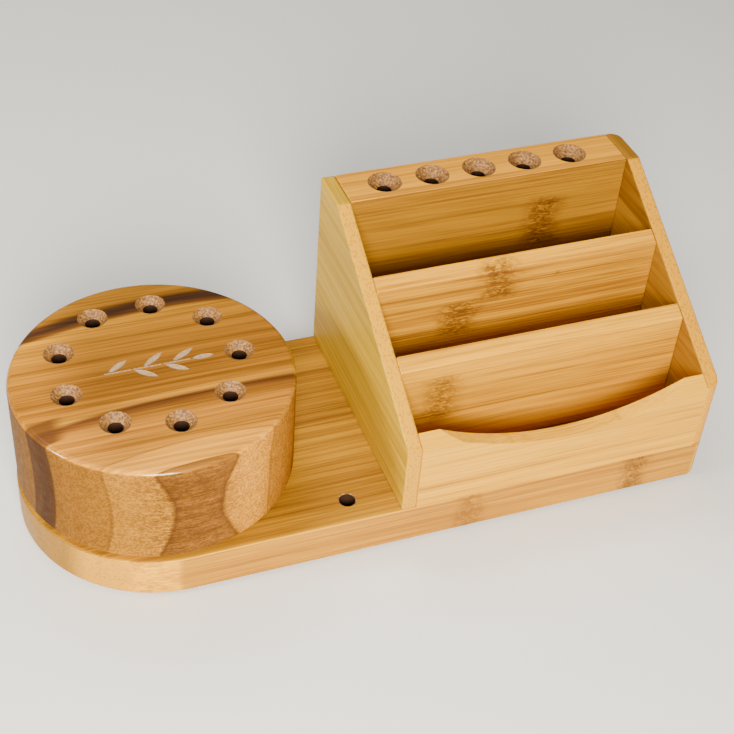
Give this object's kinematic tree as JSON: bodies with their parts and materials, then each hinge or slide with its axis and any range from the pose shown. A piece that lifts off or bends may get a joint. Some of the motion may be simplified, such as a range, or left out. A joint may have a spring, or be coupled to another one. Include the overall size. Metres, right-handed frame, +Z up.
{
  "type": "desk tool and pen organiser",
  "caption": "Bamboo desk organiser: a sloping box of open bays beside a turning round block with a ring of upright holes for pens and small tools, on one base board.",
  "frame": {"origin": "middle of the outline, on the surface that the feet rest on", "axes": "+X along the base from the turntable to the box, +Y to the back where the box is tallest, +Z up"},
  "size_m": [0.274, 0.11, 0.103],
  "materials": {
    "base_bamboo": "satin varnish, amber, long straight grain",
    "drum_bamboo": "satin varnish, thick laminated strips with carbonised lines",
    "panel_bamboo": "satin varnish, warm honey, fine grain with brown nodes",
    "front_bamboo": "satin varnish, pale straw",
    "pin_bamboo": "bare wood",
    "zinc_steel": "zinc plated",
    "bright_steel": "polished",
    "white_nylon": "matt",
    "brass": "machined",
    "black_rubber": "matt"
  },
  "bodies": {
    "base": {"base_board": "base_bamboo", "side_panel_left": "panel_bamboo", "side_panel_right": "panel_bamboo", "rear_block": "panel_bamboo", "divider_rear": "panel_bamboo", "divider_front": "panel_bamboo", "front_panel": "front_bamboo", "locating_pins": "pin_bamboo", "rear_block_screws": "zinc_steel", "rubber_feet": "black_rubber", "lower_race": "zinc_steel", "lower_race_screws": "zinc_steel", "pivot_bushing": "white_nylon"},
    "turntable": {"drum_block": "drum_bamboo", "upper_race": "zinc_steel", "upper_race_screws": "zinc_steel", "insert_nut": "brass", "pivot_bolt": "zinc_steel", "pivot_washer": "zinc_steel"},
    "ball_ring": {"ball_cage": "white_nylon", "bearing_balls": "bright_steel"}
  },
  "joints": [
    {"name": "turntable_spin", "type": "hinge", "parent": "base", "child": "turntable", "pos_m": [-0.082, 0, 0.0195], "axis": [0, 0, 1], "continuous": true},
    {"name": "ball_ring_spin", "type": "hinge", "parent": "base", "child": "ball_ring", "pos_m": [-0.082, 0, 0.0195], "axis": [0, 0, 1], "continuous": true}
  ],
  "couplings": [
    {"joint": "ball_ring_spin", "follows": "turntable_spin", "ratio": 0.5}
  ]
}
